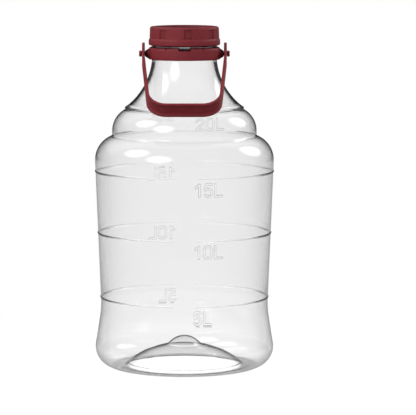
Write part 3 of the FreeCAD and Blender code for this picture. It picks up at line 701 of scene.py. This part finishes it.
tip = line_to(cap_bm, tip, PORT_RADIUS, CAP_UNDERSIDE)
tip = line_to(cap_bm, tip, CAP_BORE, CAP_UNDERSIDE, 4)
tip = line_to(cap_bm, tip, CAP_BORE, CAP_FOOT, 30)
soften(cap_bm, [cap_foot, flange_low, flange_high, skirt_root, rim_edge, rim_root, port_edge], 0.5)
# From the middle of one flute to the next: floor, flank, land, flank, floor
flute_sectors = ((5.7, 4), (FLUTE_FLANK, 2), (32.6, 16), (FLUTE_FLANK, 2), (5.7, 4))
lathe(cap_bm, cap_bm.verts[:] + cap_bm.edges[:], flute_sectors * FLUTE_COUNT)
flute_pitch = 360 / FLUTE_COUNT
for vert in cap_bm.verts:
    radius = math.hypot(vert.co.x, vert.co.y) / MM
    height = vert.co.z / MM
    outward = Vector((vert.co.x, vert.co.y, 0)).normalized()
    turned = math.degrees(math.atan2(vert.co.x, -vert.co.y))
    from_flute = (turned + flute_pitch / 2) % flute_pitch - flute_pitch / 2
    if radius > FLUTE_FLOOR + 0.4 and 498 < height < 511.5:
        flat_floor = FLUTE_FLOOR / math.cos(math.radians(from_flute))
        inside = ease((FLUTE_HALF - abs(from_flute)) / FLUTE_FLANK)
        vert.co += outward * (min(flat_floor - radius, 0) * MM * inside)
    if abs(radius - CAP_BORE) < 0.5 and CAP_FOOT + 0.2 < height < 500:
        vert.co -= outward * (thread_rise(vert.co, CAP_THREAD_FOOT) * MM)
bmesh.ops.rotate(cap_bm, cent=(0, 0, 0), matrix=Matrix.Rotation(CAP_TURN, 3, "Z"), verts=cap_bm.verts)
bmesh.ops.recalc_face_normals(cap_bm, faces=cap_bm.faces)
cap_piece = add_piece("cap_moulded", cap_bm, red, "cap", "screw_cap")
cap_piece.data.set_sharp_from_angle(angle=math.radians(50))

# Airlock valve: one moulding of dark red silicone, pressed into the port. A lip under the cap holds it,
# and gas leaves by the vent through a slit bill that shuts again.
BILL_FOOT, VENT_FOOT, LIP_FOOT, VALVE_TOP = 495.7, 497.7, 507.7, 513.6
STEM, LIP, DISC, VENT = 8.7, 11, 22, 1.8
valve_bm = bmesh.new()
tip = valve_bm.verts.new((0, 0, BILL_FOOT * MM))
tip = line_to(valve_bm, tip, 3.2, BILL_FOOT)
bill_edge = tip
tip = line_to(valve_bm, tip, STEM, LIP_FOOT)
tip = line_to(valve_bm, tip, LIP, LIP_FOOT)
lip_low = tip
tip = line_to(valve_bm, tip, LIP, CAP_UNDERSIDE)
lip_high = tip
tip = line_to(valve_bm, tip, STEM, CAP_UNDERSIDE)
tip = line_to(valve_bm, tip, STEM, CAP_FLOOR)
tip = line_to(valve_bm, tip, DISC, CAP_FLOOR)
tip = line_to(valve_bm, tip, DISC, VALVE_TOP)
disc_edge = tip
tip = line_to(valve_bm, tip, VENT, VALVE_TOP, 3)
vent_edge = tip
tip = line_to(valve_bm, tip, VENT, VENT_FOOT)
tip = line_to(valve_bm, tip, 0, VENT_FOOT)
soften(valve_bm, [bill_edge, lip_low, lip_high, disc_edge, vent_edge], 0.5)
lathe(valve_bm, valve_bm.verts[:] + valve_bm.edges[:], ((360, 72),))
bmesh.ops.recalc_face_normals(valve_bm, faces=valve_bm.faces)

# Silicone, moulded: darker and duller than the cap, also at a flat angle, and a little uneven over 6 mm
# from the dust that clings to it
silicone = bpy.data.materials.new("red_silicone_moulded")
silicone.use_nodes = True
tree = silicone.node_tree
tree.nodes.clear()
place = add_node(tree, "ShaderNodeTexCoord").outputs["Object"]
dust = add_node(tree, "ShaderNodeTexNoise", {"Vector": place, "Scale": 1 / (6 * MM), "Detail": 4.0})
silicone_shade = add_node(tree, "ShaderNodeMix", {
    "Factor": dust.outputs["Fac"], "A": linear("#5e1c22"), "B": linear("#6b242a")}, data_type="RGBA")
silicone_shader = add_node(tree, "ShaderNodeBsdfPrincipled", {
    "Base Color": silicone_shade.outputs["Result"], "Roughness": 0.85, "Specular IOR Level": 0.12})
add_node(tree, "ShaderNodeOutputMaterial", {"Surface": silicone_shader.outputs["BSDF"]})
valve_piece = add_piece("valve_moulded", valve_bm, silicone, "cap", "airlock_valve")
slit_bm = bmesh.new()
bmesh.ops.create_cube(slit_bm, size=1)
bmesh.ops.scale(slit_bm, vec=(0.4 * MM, 3.6 * MM, 4 * MM), verts=slit_bm.verts)
bmesh.ops.translate(slit_bm, vec=(0, 0, 496 * MM), verts=slit_bm.verts)
carve(valve_piece, slit_bm, "DIFFERENCE")
valve_piece.data.set_sharp_from_angle(angle=math.radians(50))

# Floor: a plain white table, which stays white to the eye and in the jar and keeps the jar's shadow, with a
# painted contact shadow round the jar's foot and painted light under the jar. Further out the table only
# glows, so that no far edge shows.
floor_bm = bmesh.new()
bmesh.ops.create_circle(floor_bm, cap_ends=True, segments=128, radius=3.0)
bmesh.ops.translate(floor_bm, vec=(0, 0, -0.4 * MM), verts=floor_bm.verts)
floor_mesh = bpy.data.meshes.new("floor")
floor_bm.to_mesh(floor_mesh)
floor_bm.free()
floor = bpy.data.objects.new("floor", floor_mesh)
bpy.context.scene.collection.objects.link(floor)
table = bpy.data.materials.new("white_table_painted")
table.use_nodes = True
tree = table.node_tree
tree.nodes.clear()
path = add_node(tree, "ShaderNodeLightPath").outputs
from_outside = add_node(tree, "ShaderNodeMath", {
    0: path["Is Camera Ray"], 1: path["Is Glossy Ray"]}, operation="MAXIMUM")
seen = add_node(tree, "ShaderNodeMath", {
    0: from_outside.outputs[0], 1: path["Is Transmission Ray"]}, operation="MAXIMUM")
reflected = add_node(tree, "ShaderNodeMath", {
    0: path["Glossy Depth"], 1: 0.5}, operation="GREATER_THAN")
place = add_node(tree, "ShaderNodeTexCoord").outputs["Object"]
reach = add_node(tree, "ShaderNodeVectorMath", {0: place}, operation="LENGTH")
glow_by_reach = add_node(tree, "ShaderNodeMapRange", {
    "Value": reach.outputs["Value"], "From Min": 0.17, "From Max": 0.6, "To Min": 0.7, "To Max": 1.0},
    interpolation_type="SMOOTHSTEP")
glow_share = add_node(tree, "ShaderNodeMath", {
    0: seen.outputs[0], 1: glow_by_reach.outputs["Result"]}, operation="MULTIPLY")
# Painted light: close under the jar the glow rises to 1.66, brighter than the open table at 1.28
painted_light_under_jar = add_node(tree, "ShaderNodeMapRange", {
    "Value": reach.outputs["Value"], "From Min": 0.085, "From Max": 0.125,
    "To Min": 1.66, "To Max": 1.28}, interpolation_type="SMOOTHSTEP")
around = add_node(tree, "ShaderNodeMapRange", {
    "Value": reach.outputs["Value"], "From Min": 0.17, "From Max": 0.6, "To Min": 1.12, "To Max": 0.78},
    interpolation_type="SMOOTHSTEP")
# Painted shadow: where ambient occlusion finds the jar within 2 mm, round its foot, the glow falls to 0.63
# of its level
open_to_light = add_node(tree, "ShaderNodeAmbientOcclusion", {"Distance": 2 * MM}, samples=8)
painted_contact_shadow = add_node(tree, "ShaderNodeMapRange", {
    "Value": open_to_light.outputs["AO"], "From Max": 0.5, "To Min": 0.63, "To Max": 1.0})
open_level = add_node(tree, "ShaderNodeMath", {
    0: painted_light_under_jar.outputs["Result"], 1: around.outputs["Result"]}, operation="MULTIPLY")
white_level = add_node(tree, "ShaderNodeMath", {
    0: open_level.outputs[0], 1: painted_contact_shadow.outputs["Result"]}, operation="MULTIPLY")


def studio_level(tree, heading):
    """How bright reflected light finds the studio: pale behind, low down and high up, and dark elsewhere."""
    across = add_node(tree, "ShaderNodeSeparateXYZ", {0: heading}).outputs
    behind = add_node(tree, "ShaderNodeMapRange", {
        "Value": across["Y"], "From Min": 0.35, "From Max": 0.9, "To Min": 0.11, "To Max": 0.46},
        interpolation_type="SMOOTHSTEP")
    ahead = add_node(tree, "ShaderNodeMapRange", {
        "Value": across["Y"], "From Min": -0.9, "From Max": -0.35, "To Min": 0.06, "To Max": 0.0},
        interpolation_type="SMOOTHSTEP")
    low = add_node(tree, "ShaderNodeMapRange", {
        "Value": across["Z"], "From Min": -0.105, "From Max": -0.04, "To Min": 1.0, "To Max": 0.1},
        interpolation_type="SMOOTHSTEP")
    both = add_node(tree, "ShaderNodeMath", {
        0: behind.outputs[0], 1: ahead.outputs[0]}, operation="ADD")
    walls = add_node(tree, "ShaderNodeMath", {
        0: both.outputs[0], 1: low.outputs[0]}, operation="MULTIPLY")
    high = add_node(tree, "ShaderNodeMapRange", {
        "Value": across["Z"], "From Min": 0.2, "From Max": 0.5, "To Min": 0.0, "To Max": 0.55},
        interpolation_type="SMOOTHSTEP")
    beyond = add_node(tree, "ShaderNodeMapRange", {
        "Value": across["Y"], "From Min": 0.1, "From Max": 0.5}, interpolation_type="SMOOTHSTEP")
    canopy = add_node(tree, "ShaderNodeMath", {
        0: high.outputs[0], 1: beyond.outputs[0]}, operation="MULTIPLY")
    total = add_node(tree, "ShaderNodeMath", {
        0: walls.outputs[0], 1: canopy.outputs[0]}, operation="ADD")
    return total.outputs[0]


# The table's far part mirrors as the room does, by its heading from a point half a metre above the middle
from_above = add_node(tree, "ShaderNodeVectorMath", {0: place, 1: (0, 0, -0.5)}, operation="ADD")
heading = add_node(tree, "ShaderNodeVectorMath", {
    0: from_above.outputs["Vector"]}, operation="NORMALIZE").outputs["Vector"]
far = add_node(tree, "ShaderNodeMapRange", {
    "Value": reach.outputs["Value"], "From Min": 0.2, "From Max": 0.8}, interpolation_type="SMOOTHSTEP")
mirrored = add_node(tree, "ShaderNodeMix", {
    "Factor": far.outputs["Result"], "A": 0.6, "B": studio_level(tree, heading)})
strength = add_node(tree, "ShaderNodeMix", {
    "Factor": reflected.outputs[0], "A": white_level.outputs[0], "B": mirrored.outputs[0]})
paint = add_node(tree, "ShaderNodeBsdfDiffuse", {"Color": linear("#8c8c8c")})
glow = add_node(tree, "ShaderNodeEmission", {
    "Color": linear("#ffffff"), "Strength": strength.outputs[0]})
mixed = add_node(tree, "ShaderNodeMixShader", {
    0: glow_share.outputs[0], 1: paint.outputs[0], 2: glow.outputs[0]})
add_node(tree, "ShaderNodeOutputMaterial", {"Surface": mixed.outputs[0]})
floor_mesh.materials.append(table)

# Room: white to the eye and through the jar. Light that was reflected on its way sees it dim, as in a
# studio with dark walls, which gives clear plastic its dark edges.
world = bpy.data.worlds.new("studio")
bpy.context.scene.world = world
world.use_nodes = True
tree = world.node_tree
tree.nodes.clear()
path = add_node(tree, "ShaderNodeLightPath").outputs
straight = add_node(tree, "ShaderNodeMath", {0: path["Glossy Depth"], 1: 0.5}, operation="LESS_THAN")
through = add_node(tree, "ShaderNodeMath", {
    0: path["Is Transmission Ray"], 1: straight.outputs[0]}, operation="MULTIPLY")
white = add_node(tree, "ShaderNodeMath", {
    0: path["Is Camera Ray"], 1: through.outputs[0]}, operation="MAXIMUM")
heading = add_node(tree, "ShaderNodeTexCoord").outputs["Generated"]
room_level = add_node(tree, "ShaderNodeMix", {
    "Factor": path["Is Diffuse Ray"], "A": studio_level(tree, heading), "B": 0.88})
dim = add_node(tree, "ShaderNodeBackground", {
    "Color": linear("#ffffff"), "Strength": room_level.outputs[0]})
bright = add_node(tree, "ShaderNodeBackground", {"Color": linear("#ffffff"), "Strength": 1.0})
room = add_node(tree, "ShaderNodeMixShader", {
    0: white.outputs[0], 1: dim.outputs[0], 2: bright.outputs[0]})
add_node(tree, "ShaderNodeOutputWorld", {"Surface": room.outputs[0]})

# Softboxes: three round diffusers, brightest in the middle and dark from behind, where the highlights on
# the shoulders put them
SOFTBOX_RADIUS = 0.6
SOFTBOX_DISTANCE = 1.6
softbox_material = bpy.data.materials.new("softbox_diffuser")
softbox_material.use_nodes = True
tree = softbox_material.node_tree
tree.nodes.clear()
place = add_node(tree, "ShaderNodeTexCoord").outputs["Object"]
reach = add_node(tree, "ShaderNodeVectorMath", {0: place}, operation="LENGTH")
fall = add_node(tree, "ShaderNodeMapRange", {
    "Value": reach.outputs["Value"], "From Min": 0.0, "From Max": SOFTBOX_RADIUS,
    "To Min": 6.2, "To Max": 0.0}, interpolation_type="SMOOTHSTEP")
lit = add_node(tree, "ShaderNodeEmission", {
    "Color": linear("#ffffff"), "Strength": fall.outputs["Result"]})
unlit = add_node(tree, "ShaderNodeBsdfTransparent")
facing = add_node(tree, "ShaderNodeNewGeometry")
faced = add_node(tree, "ShaderNodeMixShader", {
    0: facing.outputs["Backfacing"], 1: lit.outputs[0], 2: unlit.outputs[0]})
add_node(tree, "ShaderNodeOutputMaterial", {"Surface": faced.outputs[0]})
aim = Vector((0, 0, 0.38))
softboxes = (("softbox_front_left", -35, 25), ("softbox_left", -78, 39), ("softbox_back_right", 112, 29))
for softbox_name, bearing, elevation in softboxes:
    softbox_bm = bmesh.new()
    bmesh.ops.create_circle(softbox_bm, cap_ends=True, segments=64, radius=SOFTBOX_RADIUS)
    softbox_mesh = bpy.data.meshes.new(softbox_name)
    softbox_bm.to_mesh(softbox_mesh)
    softbox_bm.free()
    softbox_mesh.materials.append(softbox_material)
    softbox = bpy.data.objects.new(softbox_name, softbox_mesh)
    bearing, elevation = math.radians(bearing), math.radians(elevation)
    out = math.cos(elevation)
    toward = Vector((math.sin(bearing) * out, -math.cos(bearing) * out, math.sin(elevation)))
    softbox.location = aim + toward * SOFTBOX_DISTANCE
    softbox.rotation_euler = (-toward).to_track_quat("Z", "Y").to_euler()
    softbox.visible_camera = False
    softbox.visible_shadow = False
    bpy.context.scene.collection.objects.link(softbox)

# Camera: a long lens a little above the cap, square on to the front and tilted down about 6 degrees
CAMERA_TILT = 0.1099
camera = bpy.data.cameras.new("camera")
camera.sensor_width = 36
camera.lens = 250.25
camera.shift_x = 0.0567
camera.clip_start = 0.1
camera.clip_end = 50
camera_object = bpy.data.objects.new("camera", camera)
camera_object.location = (0, -4.348, 0.721)
camera_object.rotation_euler = (math.radians(90) - CAMERA_TILT, 0, 0)
bpy.context.scene.collection.objects.link(camera_object)
bpy.context.scene.camera = camera_object
bpy.context.scene.view_settings.view_transform = "Standard"
